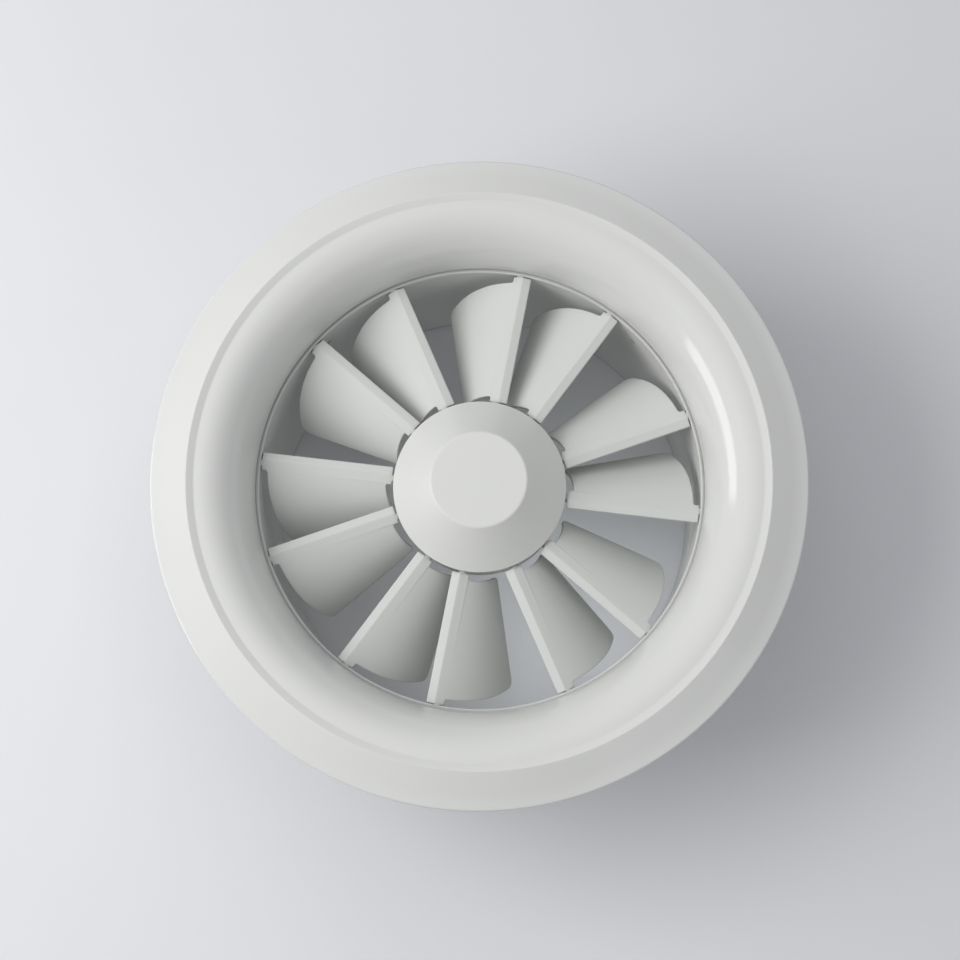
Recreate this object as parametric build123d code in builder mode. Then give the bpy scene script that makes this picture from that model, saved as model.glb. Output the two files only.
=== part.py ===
from build123d import *
from math import cos, degrees, radians, sin, tan
import os

# Ceiling air diffuser with twelve swirl blades, for a 200 mm round duct. Millimetres, +Z out of
# the face, origin at the centre of the neck's rear rim. Every blade turns on a radial pivot
# between the neck ring and the hub, and the hub cap turns all of them together.

# ---- driving dimensions
DUCT_D = 200.0
NECK_OUTER_R = DUCT_D / 2 - 1.0
NECK_WALL = 2.0
NECK_INNER_R = NECK_OUTER_R - NECK_WALL
NECK_RIM_EDGE_R = 0.6
NECK_GROOVE_DEPTH = 0.7
NECK_GROOVE_WIDTH = 2.2
BLADE_FRONT_Z = 93.0
RUNNING_FIT = 0.05

# ---- face ring, with heights above the blades' front
RIM_R = 141.0
RIM_TOP = 22.6
RIM_SKIRT_BOTTOM = 19.2
RIM_EDGE_R = 1.2
RIM_SLOPE = 15.0
CROWN_R = 40.0
FLANGE_SLOPE = 6.0
CREST_R = 124.0
CREST_EDGE_R = 0.5
STEP_SLOPE = 42.0
STEP_RUN = 2.9
TROUGH_R = 1.5
BELL_SLOPE = 14.0
BELL_FULLNESS = 0.55
MOUTH_R = 98.5
MOUTH_STRAIGHT_TOP = 2.0
MOUTH_BOTTOM = 0.6
SHELL = 2.2
COLLAR_INNER_R = NECK_OUTER_R + 0.1
COLLAR_OUTER_R = COLLAR_INNER_R + SHELL
COLLAR_DEPTH = 22.0
RIB_COUNT = 12
RIB_THICKNESS = 1.6
RIB_ROOT = 0.6
RIB_DEPTH = 14.0

# ---- blades, with heights above the pivot line and distances along it from the main axis
RIDGE_HEIGHT = 2.2
PIVOT_Z = BLADE_FRONT_Z - RIDGE_HEIGHT
BLADE_PAIRS = 6
PAIR_PITCH = 360.0 / BLADE_PAIRS
FIRST_BLADE_ANGLE = 18.95
WIDE_PITCH = 34.3
SPAR_OUTER_R = 96.5
SPAR_INNER_R = 38.7
SPAR_REAR_Y = -4.65
SPAR_FRONT_Y = 3.1
SPAR_BOTTOM = -2.5
SPAR_EDGE_R = 0.45
RIDGE_Y = -1.0
SHEET_OUTER_R = 94.0
SHEET_INNER_R = 41.5
SHEET_SECTION_R = 28.0
SHEET_THICKNESS = 1.7
SHEET_CHORD_BASE = 4.6
SHEET_CHORD_PER_RADIUS = 0.46
SHEET_START_SLOPE = 20.0
SHEET_END_SLOPE = 64.0
SHEET_OUTER_EDGE_R = 75.0
OUTER_CORNER_X = 80.6
INNER_CORNER_X = 35.8
OUTER_CORNER_R = 3.5
INNER_CORNER_R = 1.6
NOTCH_R = 1.3
SHEET_ROOT_WIDTH = 4.1
SHEET_ROOT_INSET = 0.3
SHEET_CAMBER_ROOM = 12.0
PIVOT_R = 2.0

# ---- cranks and control ring
CRANK_ARM = 7.0
CRANK_EDGE_R = 2.6
CRANK_PIN_R = 1.5
CRANK_REST_ANGLE = 8.0
CRANK_INNER_X = 28.2
CRANK_OUTER_X = 30.0
CRANK_PIN_END_X = 25.2
DRIVE_RADIUS = 26.7
SLOT_CLEARANCE = 0.3
SLOT_TOP = -4.2
RING_OUTER_R = 27.5
RING_INNER_R = 24.8
RING_TOP = 10.5
RING_BOTTOM = -10.3
WEB_TOP = 4.9
WEB_THICKNESS = 2.4
SLEEVE_OUTER_R = 10.5
SLEEVE_BOTTOM = -14.5

# ---- hub, with heights above the pivot line
CARRIER_OUTER_R = 36.8
CARRIER_INNER_R = 31.0
CARRIER_FLOOR = -15.5
CARRIER_REAR = -18.0
CARRIER_REAR_EDGE_R = 3.0
CARRIER_TOP = 2.6
CARRIER_TOP_R = 36.0
CARRIER_SHOULDER = 7.2
POST_R = 8.0
POST_TOP = 5.0
CAP_RIM_R = 37.9
CAP_RIM_TOP = 3.9
CAP_RIM_HEIGHT = 0.9
CAP_FLAT_R = 20.8
CAP_FLAT_TOP = 21.75
CAP_SHELL = 2.0
CAP_SKIRT_R = RING_INNER_R - 0.02
CAP_SKIRT_WALL = 1.9
CAP_SKIRT_BOTTOM = 5.1

# ---- fasteners
CENTRE_SCREW_R = 2.0
CENTRE_SCREW_LENGTH = 14.0
CENTRE_HEAD_R = 3.8
CENTRE_HEAD_HEIGHT = 2.6
CENTRE_WASHER_R = 9.6
CENTRE_WASHER_THICKNESS = 1.0
CARRIER_SCREW_R = 1.25
CARRIER_SCREW_PLACE_R = 33.6
CARRIER_SCREW_TIP = 3.2
CARRIER_HEAD_R = 2.2
CARRIER_HEAD_SEAT = CARRIER_REAR + 1.8
CARRIER_HEAD_HEIGHT = 1.6
COLLAR_SCREW_R = 1.5
COLLAR_SCREW_HEAD_R = 2.8
COLLAR_SCREW_HEAD_HEIGHT = 1.8
COLLAR_SCREW_LENGTH = 4.0
COLLAR_SCREW_Z = BLADE_FRONT_Z - 15.0
COLLAR_SCREW_COUNT = 4
CROSS_SLOT_WIDTH = 0.9

# ---- ceiling gasket
GASKET_OUTER_R = 138.4
GASKET_INNER_R = 129.0
GASKET_PROUD = 1.0

os.makedirs("parts", exist_ok=True)


def blade_angle(index):
    """Angle of a blade's pivot: the pitch is wide and narrow by turns."""
    pair, second = divmod(index, 2)
    return FIRST_BLADE_ANGLE + PAIR_PITCH * pair + WIDE_PITCH * second


BLADE_ANGLES = [blade_angle(index) for index in range(2 * BLADE_PAIRS)]
CARRIER_SCREW_ANGLES = [blade_angle(index) + WIDE_PITCH / 2 for index in (0, 4, 8)]
COLLAR_SCREW_ANGLES = [360.0 * step / COLLAR_SCREW_COUNT + 45 for step in range(COLLAR_SCREW_COUNT)]


def radial_plane(angle, radius, height=PIVOT_Z):
    """Plane that faces outward at a radius, with its own x counter-clockwise and its own y up."""
    outward = Vector(cos(radians(angle)), sin(radians(angle)), 0)
    around = Vector(-sin(radians(angle)), cos(radians(angle)), 0)
    return Plane(origin=outward * radius + Vector(0, 0, height), x_dir=around, z_dir=outward)


def trailing_chord(radius):
    """Distance along the mean chord from the ridge to the sheet's trailing edge."""
    return SHEET_CHORD_BASE + SHEET_CHORD_PER_RADIUS * radius


def chord_plane(angle):
    """Plane along a blade's mean chord, its own x outward from the main axis and its own y rearward."""
    outward = Vector(cos(radians(angle)), sin(radians(angle)), 0)
    around = Vector(-sin(radians(angle)), cos(radians(angle)), 0)
    tilt = radians((SHEET_START_SLOPE + SHEET_END_SLOPE) / 2)
    ridge = around * RIDGE_Y + Vector(0, 0, PIVOT_Z + RIDGE_HEIGHT)
    return Plane(origin=ridge, x_dir=outward, z_dir=around * sin(tilt) + Vector(0, 0, cos(tilt)))


def screw_plane(angle, height):
    """Level plane at a carrier screw, at a height above the pivot line."""
    place = Vector(CARRIER_SCREW_PLACE_R, 0, PIVOT_Z + height).rotate(Axis.Z, angle)
    return Plane(origin=place, z_dir=(0, 0, 1))


def section_plane(angle):
    """Upright plane through the main axis, with its own x outward and its own y up."""
    outward = Vector(cos(radians(angle)), sin(radians(angle)), 0)
    return Plane(origin=(0, 0, 0), x_dir=outward, z_dir=(outward.Y, -outward.X, 0))


def finish(builder, name):
    """Names a finished piece and writes it."""
    builder.part.label = name
    export_step(builder.part, f"parts/{name}.step")


# ---- face ring: flange with a down-turned rim, a small step, a trumpet mouth and a rear collar
FRONT = BLADE_FRONT_Z
with BuildPart() as face_ring:
    with BuildSketch(Plane.XZ) as face_profile:
        with BuildLine():
            rim = Line((RIM_R, FRONT + RIM_SKIRT_BOTTOM), (RIM_R, FRONT + RIM_TOP))
            rim_edge = JernArc(rim @ 1, rim % 1, RIM_EDGE_R, 90 - RIM_SLOPE)
            crown = JernArc(rim_edge @ 1, rim_edge % 1, CROWN_R, FLANGE_SLOPE - RIM_SLOPE)
            flange_run = ((crown @ 1).X - CREST_R) / cos(radians(FLANGE_SLOPE))
            flange = Line(crown @ 1, (crown @ 1) + (crown % 1) * flange_run)
            crest = JernArc(flange @ 1, flange % 1, CREST_EDGE_R, FLANGE_SLOPE + STEP_SLOPE)
            facet = Line(crest @ 1, (crest @ 1) + (crest % 1) * STEP_RUN)
            trough = JernArc(facet @ 1, facet % 1, TROUGH_R, BELL_SLOPE - STEP_SLOPE)
            bell_top = trough @ 1
            bell_heading = trough % 1
            bell_reach = BELL_FULLNESS * (bell_top.X - MOUTH_R) / cos(radians(BELL_SLOPE))
            mouth_top = FRONT + MOUTH_STRAIGHT_TOP
            bend_top = bell_top.Y - (bell_top.X - MOUTH_R) * tan(radians(BELL_SLOPE))
            bell = Bezier(
                bell_top,
                bell_top + bell_heading * bell_reach,
                (MOUTH_R, mouth_top + BELL_FULLNESS * (bend_top - mouth_top)),
                (MOUTH_R, mouth_top),
            )
            nose = Line(bell @ 1, (MOUTH_R, FRONT + MOUTH_BOTTOM))
            lip = Line(nose @ 1, (COLLAR_INNER_R, FRONT + MOUTH_BOTTOM))
            collar_bore = Line(lip @ 1, (COLLAR_INNER_R, FRONT - COLLAR_DEPTH))
            collar_end = Line(collar_bore @ 1, (COLLAR_OUTER_R, FRONT - COLLAR_DEPTH))
            collar = Line(collar_end @ 1, (COLLAR_OUTER_R, mouth_top))
            rear_top = bell_top + Vector(-bell_heading.Y, bell_heading.X) * SHELL
            rear_bell = Bezier(
                (COLLAR_OUTER_R, mouth_top),
                (COLLAR_OUTER_R, mouth_top + BELL_FULLNESS * (bend_top - mouth_top - SHELL)),
                rear_top + bell_heading * BELL_FULLNESS * (rear_top.X - COLLAR_OUTER_R),
                rear_top,
            )
            skirt_inner = RIM_R - SHELL
            seat_inner = (crest @ 0) + Vector(SHELL / 2, -SHELL)
            seat_outer = Vector(skirt_inner, FRONT + RIM_TOP + RIM_EDGE_R - SHELL)
            rear_step = Line(rear_bell @ 1, seat_inner)
            rear_flange = Line(rear_step @ 1, seat_outer)
            skirt = Line(rear_flange @ 1, (skirt_inner, FRONT + RIM_SKIRT_BOTTOM))
            Line(skirt @ 1, rim @ 0)
        make_face()
    revolve(axis=Axis.Z)
    for step in range(RIB_COUNT):
        with BuildSketch(section_plane(360.0 * step / RIB_COUNT)):
            with BuildLine():
                root_r = COLLAR_OUTER_R - RIB_ROOT
                rib_tip = rear_top + Vector(0, RIB_ROOT)
                Bezier(
                    (root_r, mouth_top),
                    (root_r, mouth_top + BELL_FULLNESS * (bend_top - mouth_top - SHELL)),
                    rib_tip + bell_heading * BELL_FULLNESS * (rear_top.X - COLLAR_OUTER_R),
                    rib_tip,
                )
                Polyline(
                    rib_tip,
                    rear_top - Vector(0, 2 * RIB_ROOT),
                    (COLLAR_OUTER_R, FRONT - RIB_DEPTH),
                    (root_r, FRONT - RIB_DEPTH),
                    (root_r, mouth_top),
                )
            make_face()
        extrude(amount=RIB_THICKNESS / 2, both=True)
    collar_foot = face_ring.edges().filter_by(GeomType.CIRCLE).group_by(Axis.Z)[0]
    fillet(collar_foot, 0.7)
    for angle in COLLAR_SCREW_ANGLES:
        with BuildSketch(radial_plane(angle, NECK_INNER_R, COLLAR_SCREW_Z)):
            Circle(COLLAR_SCREW_R + 0.1)
        extrude(amount=COLLAR_OUTER_R - NECK_INNER_R + 2, mode=Mode.SUBTRACT)
finish(face_ring, "face_ring")


# ---- neck ring: a straight tube with twelve pivot bores near its front lip, and a shallow groove
# ---- at the collar's foot, where a duct pushed over it from behind stops
with BuildPart() as neck_ring:
    with BuildSketch(Plane.XY):
        Circle(NECK_OUTER_R)
        Circle(NECK_INNER_R, mode=Mode.SUBTRACT)
    extrude(amount=BLADE_FRONT_Z)
    neck_rims = neck_ring.edges().filter_by(GeomType.CIRCLE).group_by(Axis.Z)
    fillet(neck_rims[0] + neck_rims[-1], NECK_RIM_EDGE_R)
    groove_z = BLADE_FRONT_Z - COLLAR_DEPTH + 0.5 - NECK_GROOVE_WIDTH / 2
    with BuildSketch(Plane.XZ):
        with Locations((NECK_OUTER_R, groove_z)):
            Rectangle(2 * NECK_GROOVE_DEPTH, NECK_GROOVE_WIDTH)
    revolve(axis=Axis.Z, mode=Mode.SUBTRACT)
    for angle in BLADE_ANGLES:
        with BuildSketch(radial_plane(angle, NECK_INNER_R - 1)):
            Circle(PIVOT_R + RUNNING_FIT)
        extrude(amount=NECK_WALL + 2, mode=Mode.SUBTRACT)
    for angle in COLLAR_SCREW_ANGLES:
        with BuildSketch(radial_plane(angle, NECK_INNER_R - 1, COLLAR_SCREW_Z)):
            Circle(COLLAR_SCREW_R)
        extrude(amount=NECK_WALL + 2, mode=Mode.SUBTRACT)
finish(neck_ring, "neck_ring")


# ---- collar screws: four short pan-head screws through the collar into the neck ring
with BuildPart() as collar_screws:
    for angle in COLLAR_SCREW_ANGLES:
        head_seat = COLLAR_OUTER_R + 0.05
        with BuildSketch(radial_plane(angle, head_seat - COLLAR_SCREW_LENGTH, COLLAR_SCREW_Z)):
            Circle(COLLAR_SCREW_R)
        extrude(amount=COLLAR_SCREW_LENGTH)
        with BuildSketch(radial_plane(angle, head_seat, COLLAR_SCREW_Z)):
            Circle(COLLAR_SCREW_HEAD_R)
        extrude(amount=COLLAR_SCREW_HEAD_HEIGHT)
        head_top = head_seat + COLLAR_SCREW_HEAD_HEIGHT
        with BuildSketch(radial_plane(angle, head_top, COLLAR_SCREW_Z)):
            Rectangle(1.3 * COLLAR_SCREW_HEAD_R, CROSS_SLOT_WIDTH)
            Rectangle(CROSS_SLOT_WIDTH, 1.3 * COLLAR_SCREW_HEAD_R)
        extrude(amount=-CROSS_SLOT_WIDTH, mode=Mode.SUBTRACT)
finish(collar_screws, "collar_screws")


# ---- ceiling gasket: a flat foam ring under the flange, a little proud of the rim's skirt
with BuildPart() as ceiling_gasket:
    seat_slope = (seat_outer.Y - seat_inner.Y) / (seat_outer.X - seat_inner.X)
    inner_seat = seat_inner.Y + seat_slope * (GASKET_INNER_R - seat_inner.X)
    outer_seat = seat_inner.Y + seat_slope * (GASKET_OUTER_R - seat_inner.X)
    gasket_bottom = FRONT + RIM_SKIRT_BOTTOM - GASKET_PROUD
    with BuildSketch(Plane.XZ):
        with BuildLine():
            Polyline(
                (GASKET_INNER_R, gasket_bottom),
                (GASKET_OUTER_R, gasket_bottom),
                (GASKET_OUTER_R, outer_seat),
                (GASKET_INNER_R, inner_seat),
                close=True,
            )
        make_face()
    revolve(axis=Axis.Z)
finish(ceiling_gasket, "ceiling_gasket")


# ---- blades
def make_blade(index):
    """One blade in one moulding: curved sheet, spar, outer pin, inner journal, crank and its pin."""
    angle = BLADE_ANGLES[index]
    turn = SHEET_END_SLOPE - SHEET_START_SLOPE
    slope = radians(SHEET_START_SLOPE)
    heading = (cos(slope), -sin(slope))
    ridge = (RIDGE_Y, RIDGE_HEIGHT)
    under = (RIDGE_Y - SHEET_THICKNESS * sin(slope), RIDGE_HEIGHT - SHEET_THICKNESS * cos(slope))
    with BuildPart() as blade:
        for radius in (SHEET_SECTION_R, SPAR_OUTER_R):
            bend = trailing_chord(radius) / (2 * sin(radians(turn / 2)))
            with BuildSketch(radial_plane(angle, radius)):
                with BuildLine():
                    front = JernArc(ridge, heading, bend, -turn)
                    back = JernArc(under, heading, bend - SHEET_THICKNESS, -turn)
                    Line(front @ 0, back @ 0)
                    Line(front @ 1, back @ 1)
                make_face()
        loft(ruled=True)
        with BuildSketch(chord_plane(angle)) as outline:
            inner_corner = (INNER_CORNER_X, trailing_chord(INNER_CORNER_X))
            outer_corner = (OUTER_CORNER_X, trailing_chord(OUTER_CORNER_X))
            with BuildLine():
                Line((SHEET_INNER_R, 0), (SHEET_OUTER_R, 0))
                RadiusArc((SHEET_OUTER_R, 0), outer_corner, -SHEET_OUTER_EDGE_R)
                Line(outer_corner, inner_corner)
                RadiusArc(inner_corner, (SHEET_INNER_R, 0), SHEET_INNER_R)
            make_face()
            with Locations((SPAR_INNER_R + SHEET_ROOT_INSET, 0)):
                Rectangle(
                    SPAR_OUTER_R - SPAR_INNER_R - 2 * SHEET_ROOT_INSET,
                    SHEET_ROOT_WIDTH,
                    align=(Align.MIN, Align.MIN),
                )
            corners = (
                (outer_corner, OUTER_CORNER_R),
                (inner_corner, INNER_CORNER_R),
                ((SHEET_OUTER_R, SHEET_ROOT_WIDTH), NOTCH_R),
                ((SHEET_INNER_R, SHEET_ROOT_WIDTH), NOTCH_R),
            )
            for place, radius in corners:
                fillet(outline.vertices().sort_by_distance(place)[0], radius)
        extrude(amount=SHEET_CAMBER_ROOM, both=True, mode=Mode.INTERSECT)

        with BuildSketch(radial_plane(angle, SPAR_INNER_R)) as spar:
            with BuildLine():
                Polyline(
                    (SPAR_REAR_Y, 0.6 * RIDGE_HEIGHT),
                    ridge,
                    (SPAR_FRONT_Y, 0.25 * RIDGE_HEIGHT),
                    (SPAR_FRONT_Y, 0.36 * SPAR_BOTTOM),
                    (0.5 * SPAR_FRONT_Y, SPAR_BOTTOM),
                    (0.5 * SPAR_REAR_Y, SPAR_BOTTOM),
                    (SPAR_REAR_Y, 0.16 * SPAR_BOTTOM),
                    close=True,
                )
            make_face()
            fillet(spar.vertices(), SPAR_EDGE_R)
        extrude(amount=SPAR_OUTER_R - SPAR_INNER_R)

        with BuildSketch(radial_plane(angle, SPAR_OUTER_R)):
            Circle(PIVOT_R)
        extrude(amount=NECK_OUTER_R - 0.2 - SPAR_OUTER_R)
        with BuildSketch(radial_plane(angle, SPAR_INNER_R)):
            Circle(PIVOT_R)
        extrude(amount=CRANK_OUTER_X - SPAR_INNER_R)

        lean = radians(CRANK_REST_ANGLE)
        pin_place = (CRANK_ARM * sin(lean), -CRANK_ARM * cos(lean))
        arm_middle = (pin_place[0] / 2, pin_place[1] / 2)
        with BuildSketch(radial_plane(angle, CRANK_INNER_X)):
            SlotCenterPoint(arm_middle, pin_place, 2 * CRANK_EDGE_R)
        extrude(amount=CRANK_OUTER_X - CRANK_INNER_X)
        with BuildSketch(radial_plane(angle, CRANK_INNER_X)):
            with Locations(pin_place):
                Circle(CRANK_PIN_R)
        extrude(amount=CRANK_PIN_END_X - CRANK_INNER_X)
    return blade


for index in range(2 * BLADE_PAIRS):
    finish(make_blade(index), f"blade_{index + 1:02d}")


# ---- hub rear carrier: a cup with the lower half of every bearing, and a post in its middle
with BuildPart() as hub_rear_carrier:
    with BuildSketch(Plane.XY.offset(PIVOT_Z + CARRIER_REAR)):
        Circle(CARRIER_OUTER_R)
    extrude(amount=-CARRIER_REAR)
    rear_rim = hub_rear_carrier.edges().filter_by(GeomType.CIRCLE).group_by(Axis.Z)[0]
    fillet(rear_rim, CARRIER_REAR_EDGE_R)
    with BuildSketch(Plane.XY.offset(PIVOT_Z + CARRIER_FLOOR)):
        Circle(CARRIER_INNER_R)
    extrude(amount=-CARRIER_FLOOR, mode=Mode.SUBTRACT)
    with BuildSketch(Plane.XY.offset(PIVOT_Z + CARRIER_FLOOR)):
        Circle(POST_R)
    extrude(amount=POST_TOP - CARRIER_FLOOR)
    for angle in BLADE_ANGLES:
        with BuildSketch(radial_plane(angle, CARRIER_INNER_R - 2)):
            Circle(PIVOT_R + RUNNING_FIT)
        extrude(amount=CARRIER_OUTER_R - CARRIER_INNER_R + 4, mode=Mode.SUBTRACT)
    for angle in CARRIER_SCREW_ANGLES:
        with BuildSketch(screw_plane(angle, CARRIER_REAR)):
            Circle(CARRIER_SCREW_R + 0.1)
        extrude(amount=-CARRIER_REAR, mode=Mode.SUBTRACT)
        with BuildSketch(screw_plane(angle, CARRIER_REAR)):
            Circle(CARRIER_HEAD_R + 0.2)
        extrude(amount=CARRIER_HEAD_SEAT - CARRIER_REAR, mode=Mode.SUBTRACT)
    with BuildSketch(Plane.XY.offset(PIVOT_Z + POST_TOP)):
        Circle(CENTRE_SCREW_R)
    extrude(amount=-CENTRE_SCREW_LENGTH, mode=Mode.SUBTRACT)
finish(hub_rear_carrier, "hub_rear_carrier")


# ---- hub front carrier: the upper half of every bearing, sloped on top to clear the cap
with BuildPart() as hub_front_carrier:
    with BuildSketch(Plane.XZ):
        with BuildLine():
            Polyline(
                (CARRIER_INNER_R, PIVOT_Z),
                (CARRIER_OUTER_R, PIVOT_Z),
                (CARRIER_OUTER_R, PIVOT_Z + CARRIER_TOP),
                (CARRIER_TOP_R, PIVOT_Z + CARRIER_TOP),
                (CARRIER_INNER_R, PIVOT_Z + CARRIER_SHOULDER),
                close=True,
            )
        make_face()
    revolve(axis=Axis.Z)
    for angle in BLADE_ANGLES:
        with BuildSketch(radial_plane(angle, CARRIER_INNER_R - 2)):
            Circle(PIVOT_R + RUNNING_FIT)
        extrude(amount=CARRIER_OUTER_R - CARRIER_INNER_R + 4, mode=Mode.SUBTRACT)
    for angle in CARRIER_SCREW_ANGLES:
        with BuildSketch(screw_plane(angle, 0)):
            Circle(CARRIER_SCREW_R)
        extrude(amount=CARRIER_SCREW_TIP + 0.3, mode=Mode.SUBTRACT)
finish(hub_front_carrier, "hub_front_carrier")


# ---- carrier screws: three, from the rear, with their heads sunk in counterbores
with BuildPart() as carrier_screws:
    for angle in CARRIER_SCREW_ANGLES:
        with BuildSketch(screw_plane(angle, CARRIER_HEAD_SEAT)):
            Circle(CARRIER_SCREW_R)
        extrude(amount=CARRIER_SCREW_TIP - CARRIER_HEAD_SEAT)
        with BuildSketch(screw_plane(angle, CARRIER_HEAD_SEAT)):
            Circle(CARRIER_HEAD_R)
        extrude(amount=-CARRIER_HEAD_HEIGHT)
        with BuildSketch(screw_plane(angle, CARRIER_HEAD_SEAT - CARRIER_HEAD_HEIGHT)):
            Rectangle(1.3 * CARRIER_HEAD_R, CROSS_SLOT_WIDTH)
            Rectangle(CROSS_SLOT_WIDTH, 1.3 * CARRIER_HEAD_R)
        extrude(amount=CROSS_SLOT_WIDTH, mode=Mode.SUBTRACT)
finish(carrier_screws, "carrier_screws")


# ---- control ring: a slotted wall, a web and a sleeve that turns on the rear carrier's post
with BuildPart() as control_ring:
    with BuildSketch(Plane.XZ):
        with BuildLine():
            Polyline(
                (RING_INNER_R, PIVOT_Z + RING_BOTTOM),
                (RING_OUTER_R, PIVOT_Z + RING_BOTTOM),
                (RING_OUTER_R, PIVOT_Z + RING_TOP),
                (RING_INNER_R, PIVOT_Z + RING_TOP),
                (RING_INNER_R, PIVOT_Z + WEB_TOP),
                (POST_R + RUNNING_FIT, PIVOT_Z + WEB_TOP),
                (POST_R + RUNNING_FIT, PIVOT_Z + SLEEVE_BOTTOM),
                (SLEEVE_OUTER_R, PIVOT_Z + SLEEVE_BOTTOM),
                (SLEEVE_OUTER_R, PIVOT_Z + WEB_TOP - WEB_THICKNESS),
                (RING_INNER_R, PIVOT_Z + WEB_TOP - WEB_THICKNESS),
                close=True,
            )
        make_face()
    revolve(axis=Axis.Z)
    slot_width = 2 * (CRANK_PIN_R + SLOT_CLEARANCE)
    slot_lead = degrees(CRANK_ARM * sin(radians(CRANK_REST_ANGLE)) / DRIVE_RADIUS)
    slot_height = SLOT_TOP - RING_BOTTOM + 1
    for angle in BLADE_ANGLES:
        slot_middle = PIVOT_Z + SLOT_TOP - slot_height / 2
        with BuildSketch(radial_plane(angle + slot_lead, RING_INNER_R - 1.5, slot_middle)):
            Rectangle(slot_width, slot_height)
        extrude(amount=RING_OUTER_R - RING_INNER_R + 3, mode=Mode.SUBTRACT)
finish(control_ring, "control_ring")


# ---- friction washer, between the sleeve and the cup's floor
with BuildPart() as friction_washer:
    with BuildSketch(Plane.XY.offset(PIVOT_Z + CARRIER_FLOOR)):
        Circle(SLEEVE_OUTER_R)
        Circle(POST_R + 0.3, mode=Mode.SUBTRACT)
    extrude(amount=SLEEVE_BOTTOM - CARRIER_FLOOR)
finish(friction_washer, "friction_washer")


# ---- centre washer and screw, which keep the control ring on the post
with BuildPart() as centre_washer:
    with BuildSketch(Plane.XY.offset(PIVOT_Z + POST_TOP)):
        Circle(CENTRE_WASHER_R)
        Circle(CENTRE_SCREW_R + 0.2, mode=Mode.SUBTRACT)
    extrude(amount=CENTRE_WASHER_THICKNESS)
finish(centre_washer, "centre_washer")

with BuildPart() as centre_screw:
    head_seat = PIVOT_Z + POST_TOP + CENTRE_WASHER_THICKNESS
    with BuildSketch(Plane.XY.offset(head_seat)):
        Circle(CENTRE_SCREW_R)
    extrude(amount=-CENTRE_SCREW_LENGTH)
    with BuildSketch(Plane.XY.offset(head_seat)):
        Circle(CENTRE_HEAD_R)
    extrude(amount=CENTRE_HEAD_HEIGHT)
    with BuildSketch(Plane.XY.offset(head_seat + CENTRE_HEAD_HEIGHT)):
        Rectangle(1.3 * CENTRE_HEAD_R, CROSS_SLOT_WIDTH)
        Rectangle(CROSS_SLOT_WIDTH, 1.3 * CENTRE_HEAD_R)
    extrude(amount=-CROSS_SLOT_WIDTH, mode=Mode.SUBTRACT)
finish(centre_screw, "centre_screw")


# ---- hub cap: a blunt conical shell with a skirt pressed into the control ring's socket
with BuildPart() as hub_cap:
    cone_slope = (CAP_FLAT_TOP - CAP_RIM_TOP) / (CAP_RIM_R - CAP_FLAT_R)
    wall_drop = CAP_SHELL * (1 + cone_slope**2) ** 0.5
    flat_under = CAP_FLAT_TOP - CAP_SHELL
    inner_flat_r = CAP_FLAT_R + (wall_drop - CAP_SHELL) / -cone_slope
    rim_under = CAP_RIM_TOP - CAP_RIM_HEIGHT
    inner_rim_r = CAP_RIM_R - (rim_under - CAP_RIM_TOP + wall_drop) / cone_slope
    with BuildSketch(Plane.XZ):
        with BuildLine():
            Polyline(
                (0, PIVOT_Z + flat_under),
                (0, PIVOT_Z + CAP_FLAT_TOP),
                (CAP_FLAT_R, PIVOT_Z + CAP_FLAT_TOP),
                (CAP_RIM_R, PIVOT_Z + CAP_RIM_TOP),
                (CAP_RIM_R, PIVOT_Z + rim_under),
                (inner_rim_r, PIVOT_Z + rim_under),
                (inner_flat_r, PIVOT_Z + flat_under),
                close=True,
            )
        make_face()
    revolve(axis=Axis.Z)
    cap_edges = hub_cap.edges().filter_by(GeomType.CIRCLE).group_by(Axis.Z)
    fillet(cap_edges[-1], 1.6)
    cap_circles = hub_cap.edges().filter_by(GeomType.CIRCLE)
    rim_edges = cap_circles.filter_by(lambda edge: edge.radius > CAP_RIM_R - 0.1)
    fillet(rim_edges, 0.35)
    with BuildSketch(Plane.XZ):
        skirt_top = flat_under + 1 - (CAP_SKIRT_R - inner_flat_r) * cone_slope
        with BuildLine():
            Polyline(
                (CAP_SKIRT_R - CAP_SKIRT_WALL, PIVOT_Z + CAP_SKIRT_BOTTOM),
                (CAP_SKIRT_R, PIVOT_Z + CAP_SKIRT_BOTTOM),
                (CAP_SKIRT_R, PIVOT_Z + skirt_top),
                (CAP_SKIRT_R - CAP_SKIRT_WALL, PIVOT_Z + skirt_top + CAP_SKIRT_WALL * cone_slope),
                close=True,
            )
        make_face()
    revolve(axis=Axis.Z)
finish(hub_cap, "hub_cap")
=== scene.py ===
from math import cos, radians, sin

import bpy
from mathutils import Matrix, Vector


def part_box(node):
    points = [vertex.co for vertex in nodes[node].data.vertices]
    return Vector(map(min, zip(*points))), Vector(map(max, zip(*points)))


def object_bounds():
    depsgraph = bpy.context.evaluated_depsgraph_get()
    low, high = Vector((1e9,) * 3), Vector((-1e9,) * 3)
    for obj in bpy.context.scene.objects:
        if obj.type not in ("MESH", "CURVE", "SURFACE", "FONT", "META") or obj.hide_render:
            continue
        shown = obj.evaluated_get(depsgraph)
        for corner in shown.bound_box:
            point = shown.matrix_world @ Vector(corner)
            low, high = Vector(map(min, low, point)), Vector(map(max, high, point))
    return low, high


# Ceiling air diffuser, laid face up on a pale table. Metres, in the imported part's own frame.

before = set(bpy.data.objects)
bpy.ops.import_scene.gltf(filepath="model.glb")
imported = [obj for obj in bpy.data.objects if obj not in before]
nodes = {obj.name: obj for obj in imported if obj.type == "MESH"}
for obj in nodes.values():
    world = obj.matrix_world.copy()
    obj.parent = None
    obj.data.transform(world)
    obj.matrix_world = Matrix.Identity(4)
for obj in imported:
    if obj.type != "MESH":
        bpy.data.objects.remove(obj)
cad_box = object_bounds()

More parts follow.
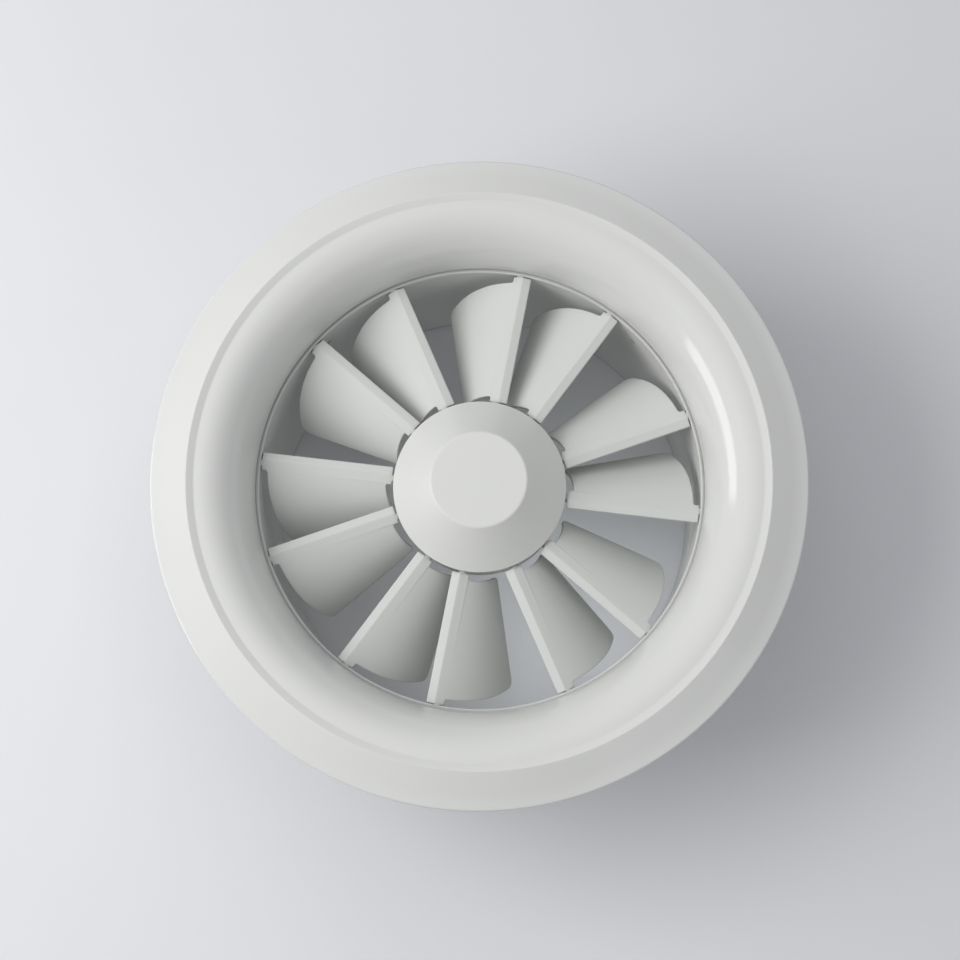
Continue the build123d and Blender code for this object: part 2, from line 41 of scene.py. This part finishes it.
BLADES = sorted(name for name in nodes if name.startswith("blade_"))
BLADE_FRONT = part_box("neck_ring")[1].z

# ---- camera: almost straight down on the face, leaning a little towards the near edge
SENSOR = 36.0
LENS = 78.75
CLIP_NEAR = 0.05
CLIP_FAR = 20.0
LEAN_X = -0.1686
LEAN_Y = -0.019
CAMERA_OFFSET = Vector((0.1674, 3.027, 920.66)) / 1000


def make_camera():
    data = bpy.data.cameras.new("camera")
    data.lens = LENS
    data.sensor_width = SENSOR
    data.clip_start = CLIP_NEAR
    data.clip_end = CLIP_FAR
    camera = bpy.data.objects.new("camera", data)
    bpy.context.scene.collection.objects.link(camera)
    bpy.context.scene.camera = camera
    lean = Matrix.Rotation(LEAN_X, 4, "X") @ Matrix.Rotation(LEAN_Y, 4, "Y")
    turn = lean.transposed()
    place = Vector((0, 0, BLADE_FRONT)) + turn @ CAMERA_OFFSET
    camera.matrix_world = Matrix.Translation(place) @ turn


make_camera()

# ---- how finely the shaders look around themselves
WEAR_SAMPLES = 4
ROUND_SAMPLES = 6
PAINTED_SHADE_SAMPLES = 6
NOISE_LOW = 0.3
NOISE_HIGH = 0.7
WEAR_FROM = 0.8
WEAR_TO = 1.0
# painted shade: where the enclosure mask starts and stops darkening the colour
PAINTED_SHADE_CLOSED = 0.45
PAINTED_SHADE_OPEN = 0.93


# ---- node helpers
class Graph:
    """A material's node tree with a Principled shader, and short calls to add nodes to it."""

    def __init__(self, name):
        self.material = bpy.data.materials.new(name)
        self.material.use_nodes = True
        self.tree = self.material.node_tree
        self.tree.nodes.clear()
        output = self.tree.nodes.new("ShaderNodeOutputMaterial")
        self.shader = self.tree.nodes.new("ShaderNodeBsdfPrincipled")
        self.link(self.shader.outputs["BSDF"], output.inputs["Surface"])
        self.place = self.tree.nodes.new("ShaderNodeTexCoord").outputs["Object"]

    def link(self, source, target):
        self.tree.links.new(source, target)

    def drive(self, socket, source):
        """Links a node's output to one of the shader's sockets."""
        self.link(source, self.shader.inputs[socket])

    def set(self, **values):
        """Constant values straight on the shader's sockets."""
        for name, value in values.items():
            self.shader.inputs[name].default_value = value

    def noise(self, scale, detail=3.0, roughness=0.5):
        node = self.tree.nodes.new("ShaderNodeTexNoise")
        node.inputs["Scale"].default_value = scale
        node.inputs["Detail"].default_value = detail
        node.inputs["Roughness"].default_value = roughness
        self.link(self.place, node.inputs["Vector"])
        return node.outputs["Fac"]

    def spread(self, source, low, high, low_at=NOISE_LOW, high_at=NOISE_HIGH):
        """Stretches a 0 to 1 value onto a new range."""
        node = self.tree.nodes.new("ShaderNodeMapRange")
        node.inputs["From Min"].default_value = low_at
        node.inputs["From Max"].default_value = high_at
        node.inputs["To Min"].default_value = low
        node.inputs["To Max"].default_value = high
        self.link(source, node.inputs["Value"])
        return node.outputs["Result"]

    def mix(self, factor, first, second):
        """Blends two colours, each a constant or another node's output."""
        node = self.tree.nodes.new("ShaderNodeMix")
        node.data_type = "RGBA"
        self.link(factor, node.inputs["Factor"])
        for socket, colour in ((node.inputs[6], first), (node.inputs[7], second)):
            if isinstance(colour, tuple):
                socket.default_value = (*colour, 1)
            else:
                self.link(colour, socket)
        return node.outputs[2]

    def rounded(self, radius, samples=ROUND_SAMPLES):
        """The surface normal with every edge rounded off."""
        bevel = self.tree.nodes.new("ShaderNodeBevel")
        bevel.samples = samples
        bevel.inputs["Radius"].default_value = radius
        return bevel.outputs["Normal"]

    def edges(self, radius):
        """1 at a sharp edge and 0 on open surfaces, from how far the rounded normal leans."""
        geometry = self.tree.nodes.new("ShaderNodeNewGeometry")
        dot = self.tree.nodes.new("ShaderNodeVectorMath")
        dot.operation = "DOT_PRODUCT"
        self.link(self.rounded(radius, WEAR_SAMPLES), dot.inputs[0])
        self.link(geometry.outputs["Normal"], dot.inputs[1])
        return self.spread(dot.outputs["Value"], 1, 0, WEAR_FROM, WEAR_TO)

    def painted_hollow_shade(self, reach):
        """Mask for painted shade: 1 deep in a corner or groove and 0 in the open, from how
        enclosed the surface is.
        """
        node = self.tree.nodes.new("ShaderNodeAmbientOcclusion")
        node.samples = PAINTED_SHADE_SAMPLES
        node.inputs["Distance"].default_value = reach
        return self.spread(node.outputs["AO"], 1, 0, PAINTED_SHADE_CLOSED, PAINTED_SHADE_OPEN)

    def bump(self, height, strength, distance, normal=None):
        node = self.tree.nodes.new("ShaderNodeBump")
        node.inputs["Strength"].default_value = strength
        node.inputs["Distance"].default_value = distance
        self.link(height, node.inputs["Height"])
        if normal is not None:
            self.link(normal, node.inputs["Normal"])
        return node.outputs["Normal"]


def scaled(colour, factor):
    return tuple(min(1, factor * part) for part in colour)


# ---- moulded plastic: what all the plastic pieces share
PLASTIC_IOR = 1.52
CLOUD_SCALE = 14
CLOUD_DETAIL = 4
FLECK_SCALE = 900
FLECK_DETAIL = 2
FLECK_SHARE = 0.35
FLECK_TONE = 0.985
# painted shade in corners and grooves: how far the enclosure mask looks and how dark it paints
PAINTED_SHADE_REACH = 0.003
PAINTED_SHADE_TONE = 0.62
WEAR_TONE = 1.03
GLOSS_SCALE = 55
GLOSS_DETAIL = 5
GLOSS_BELOW = 0.02
GLOSS_ABOVE = 0.03
WAVE_SCALE = 38
WAVE_DETAIL = 2
WAVE_STRENGTH = 0.06
WAVE_HEIGHT = 0.0006
PEEL_SCALE = 1600
PEEL_DETAIL = 2
PEEL_HEIGHT = 0.0001


def plastic_tone(graph, colour, shade, edge_radius):
    """Flow clouds and fine flecks, painted shade darkening the grooves, and paler on worn edges.
    """
    clouds = graph.spread(graph.noise(CLOUD_SCALE, CLOUD_DETAIL), 0, 1)
    flecks = graph.spread(graph.noise(FLECK_SCALE, FLECK_DETAIL), 0, FLECK_SHARE)
    tone = graph.mix(clouds, colour, shade)
    tone = graph.mix(flecks, tone, scaled(colour, FLECK_TONE))
    # painted shade: the colour is darkened where the surface is enclosed, in corners and grooves
    tone = graph.mix(graph.painted_hollow_shade(PAINTED_SHADE_REACH), tone, scaled(colour, PAINTED_SHADE_TONE))
    return graph.mix(graph.edges(edge_radius), tone, scaled(colour, WEAR_TONE))


def plastic_relief(graph, grain, edge_radius):
    """Rounded edges, slow mould waves and a fine orange peel."""
    normal = graph.rounded(edge_radius)
    normal = graph.bump(graph.noise(WAVE_SCALE, WAVE_DETAIL), WAVE_STRENGTH, WAVE_HEIGHT, normal)
    return graph.bump(graph.noise(PEEL_SCALE, PEEL_DETAIL), grain, PEEL_HEIGHT, normal)


def moulded_plastic(name, colour, shade, roughness, grain=0.06, edge_radius=0.0003):
    """Moulded ABS with a faintly uneven tone and gloss."""
    graph = Graph(name)
    gloss = graph.noise(GLOSS_SCALE, GLOSS_DETAIL)
    graph.drive("Base Color", plastic_tone(graph, colour, shade, edge_radius))
    graph.drive("Roughness", graph.spread(gloss, roughness - GLOSS_BELOW, roughness + GLOSS_ABOVE))
    graph.drive("Normal", plastic_relief(graph, grain, edge_radius))
    graph.set(IOR=PLASTIC_IOR)
    return graph.material


# ---- the other materials
FOAM_DARK = (0.035, 0.035, 0.038)
FOAM_LIGHT = (0.055, 0.055, 0.058)
ZINC_LIGHT = (0.56, 0.57, 0.58)
ZINC_DARK = (0.46, 0.47, 0.49)
ZINC_WORN = (0.72, 0.72, 0.72)
NYLON_WARM = (0.72, 0.69, 0.6)
NYLON_PALE = (0.78, 0.76, 0.68)
TABLE_COOL = (0.81, 0.82, 0.85)
TABLE_PALE = (0.825, 0.835, 0.865)
FOAM_CELL_SCALE = 1400
NYLON_IOR = 1.53


def gasket_foam():
    """Closed-cell foam: dark grey with fine open cells on its cut faces."""
    graph = Graph("gasket_foam")
    cells = graph.tree.nodes.new("ShaderNodeTexVoronoi")
    cells.inputs["Scale"].default_value = FOAM_CELL_SCALE
    graph.link(graph.place, cells.inputs["Vector"])
    blotches = graph.spread(graph.noise(scale=60, detail=4), 0, 1)
    dullness = graph.spread(graph.noise(scale=200, detail=3), 0.8, 0.95)
    graph.drive("Base Color", graph.mix(blotches, FOAM_DARK, FOAM_LIGHT))
    graph.drive("Roughness", dullness)
    graph.drive("Normal", graph.bump(cells.outputs["Distance"], strength=0.5, distance=0.0003))
    return graph.material


def zinc_steel():
    """Zinc-plated screw steel: cool grey with turning marks and patchy gloss."""
    graph = Graph("zinc_steel")
    patches = graph.spread(graph.noise(scale=300, detail=4), 0, 1)
    tone = graph.mix(patches, ZINC_LIGHT, ZINC_DARK)
    gloss = graph.spread(graph.noise(scale=700, detail=4), 0.28, 0.42)
    marks = graph.noise(scale=2500, detail=3)
    graph.drive("Base Color", graph.mix(graph.edges(radius=0.0002), tone, ZINC_WORN))
    graph.drive("Roughness", gloss)
    graph.drive("Normal", graph.bump(marks, 0.15, 0.00005, graph.rounded(radius=0.0001)))
    graph.set(Metallic=1.0)
    return graph.material


def washer_nylon():
    """Natural nylon: milky and slightly waxy."""
    graph = Graph("washer_nylon")
    milk = graph.spread(graph.noise(scale=90, detail=3), 0, 1)
    wax = graph.spread(graph.noise(scale=260, detail=3), 0.42, 0.55)
    grain = graph.noise(scale=1200, detail=2)
    graph.drive("Base Color", graph.mix(milk, NYLON_WARM, NYLON_PALE))
    graph.drive("Roughness", wax)
    graph.drive("Normal", graph.bump(grain, strength=0.1, distance=0.0001))
    graph.set(IOR=NYLON_IOR)
    return graph.material


def table_top():
    """Plain pale laminate with a barely visible mottling."""
    graph = Graph("table_top")
    mottling = graph.spread(graph.noise(scale=6, detail=4), 0, 1)
    dullness = graph.spread(graph.noise(scale=30, detail=3), 0.5, 0.6)
    graph.drive("Base Color", graph.mix(mottling, TABLE_COOL, TABLE_PALE))
    graph.drive("Roughness", dullness)
    return graph.material


# ---- which piece gets which material
FACE_WHITE = (0.76, 0.765, 0.745)
FACE_SHADE = (0.74, 0.745, 0.725)
NECK_WHITE = (0.70, 0.705, 0.685)
NECK_SHADE = (0.68, 0.685, 0.665)
# painted shade: the blade colours are set darker than the face ring's, for the shade that falls on
# the sheets
BLADE_TONE_IN_SHADE = (0.67, 0.68, 0.66)
BLADE_SHADE = (0.65, 0.66, 0.64)
HUB_WHITE = (0.68, 0.685, 0.665)
HUB_SHADE = (0.65, 0.655, 0.635)

face_plastic = moulded_plastic("face_plastic", FACE_WHITE, FACE_SHADE, roughness=0.11)
# the blade plastic carries painted shade through its darker colours
blade_plastic = moulded_plastic(
    "blade_plastic", BLADE_TONE_IN_SHADE, BLADE_SHADE, roughness=0.34, grain=0.1, edge_radius=0.0008
)
neck_plastic = moulded_plastic("neck_plastic", NECK_WHITE, NECK_SHADE, roughness=0.4)
cap_plastic = moulded_plastic("cap_plastic", FACE_WHITE, FACE_SHADE, roughness=0.34)
hub_plastic = moulded_plastic("hub_plastic", HUB_WHITE, HUB_SHADE, roughness=0.5, grain=0.15)
steel = zinc_steel()

FINISHES = {
    "face_ring": face_plastic,
    "neck_ring": neck_plastic,
    "hub_cap": cap_plastic,
    "hub_rear_carrier": hub_plastic,
    "hub_front_carrier": hub_plastic,
    "control_ring": hub_plastic,
    "ceiling_gasket": gasket_foam(),
    "friction_washer": washer_nylon(),
    "collar_screws": steel,
    "carrier_screws": steel,
    "centre_washer": steel,
    "centre_screw": steel,
}
FINISHES.update({name: blade_plastic for name in BLADES})


def assign(node, material):
    """Puts a material in the node's first slot and points every face at it."""
    mesh = nodes[node].data
    mesh.materials.clear()
    mesh.materials.append(material)
    for face in mesh.polygons:
        face.material_index = 0


for node, material in FINISHES.items():
    assign(node, material)


# ---- table
FLOOR_HALF_SIDE = 4.0


def make_floor(half_side):
    """A flat square table at the foot of the part."""
    signs = ((-1, -1), (1, -1), (1, 1), (-1, 1))
    corners = [(x * half_side, y * half_side, cad_box[0].z) for x, y in signs]
    mesh = bpy.data.meshes.new("table")
    mesh.from_pydata(corners, [], [(0, 1, 2, 3)])
    floor = bpy.data.objects.new("table", mesh)
    bpy.context.scene.collection.objects.link(floor)
    mesh.materials.append(table_top())


make_floor(FLOOR_HALF_SIDE)

# ---- light: one broad window to the left, soft fills, and a low strip that only shows as gloss
WINDOW = {"azimuth": 180, "elevation": 46, "distance": 1.15, "size": (0.84, 0.8), "watts": 9.3}
TOP_GLOW = {"azimuth": 90, "elevation": 74, "distance": 1.4, "size": (1.2, 1.2), "watts": 4.6}
RIGHT_FILL = {"azimuth": 315, "elevation": 40, "distance": 1.5, "size": (0.8, 0.8), "watts": 0.7}
GLINT = {"azimuth": 184, "elevation": 14, "distance": 1.2, "size": (0.84, 0.44), "watts": 4.4}
INNER_FILL = {"azimuth": 0, "elevation": 90, "distance": 0.0, "size": (0.11, 0.11), "watts": 0.016}
INNER_FILL_PLACE = (0.045, -0.045, 0.055)
WINDOW_WHITE = (1.0, 0.995, 0.985)
GLOW_WHITE = (0.98, 0.99, 1.0)
FILL_WHITE = (0.99, 0.99, 1.0)
INNER_WHITE = (0.95, 0.98, 1.0)
WORLD_COLOUR = (0.95, 0.97, 1.0, 1)
WORLD_STRENGTH = 0.27


def away_from_object(azimuth, elevation):
    """The direction from the object to a light. Azimuth is counter-clockwise from +X."""
    around, up = radians(azimuth), radians(elevation)
    return Vector((cos(around) * cos(up), sin(around) * cos(up), sin(up)))


def area_light(name, azimuth, elevation, distance, size, watts, colour=(1, 1, 1)):
    """A rectangular soft light, width by height, that faces the object."""
    data = bpy.data.lights.new(name, "AREA")
    data.shape = "RECTANGLE"
    data.size, data.size_y = size
    data.energy = watts
    data.color = colour
    light = bpy.data.objects.new(name, data)
    bpy.context.scene.collection.objects.link(light)
    away = away_from_object(azimuth, elevation)
    light.location = Vector((0, 0, BLADE_FRONT)) + away * distance
    light.rotation_mode = "QUATERNION"
    light.rotation_quaternion = away.to_track_quat("Z", "Y")
    return light


def set_lights():
    """The window and the glow have no reflection of their own, and the glint is only that.

    The inner fill sits in the neck, for the light that reaches the table between the blades.
    """
    window = area_light("window", colour=WINDOW_WHITE, **WINDOW)
    window.visible_glossy = False
    top_glow = area_light("top_glow", colour=GLOW_WHITE, **TOP_GLOW)
    top_glow.visible_glossy = False
    area_light("right_fill", colour=FILL_WHITE, **RIGHT_FILL)
    glint = area_light("glint", **GLINT)
    glint.visible_diffuse = False
    glint.visible_camera = False
    inner_fill = area_light("inner_fill", colour=INNER_WHITE, **INNER_FILL)
    inner_fill.location = INNER_FILL_PLACE


def set_world():
    world = bpy.data.worlds.new("studio")
    world.use_nodes = True
    background = world.node_tree.nodes["Background"]
    background.inputs["Color"].default_value = WORLD_COLOUR
    background.inputs["Strength"].default_value = WORLD_STRENGTH
    bpy.context.scene.world = world
    bpy.context.scene.view_settings.view_transform = "Standard"


set_lights()
set_world()
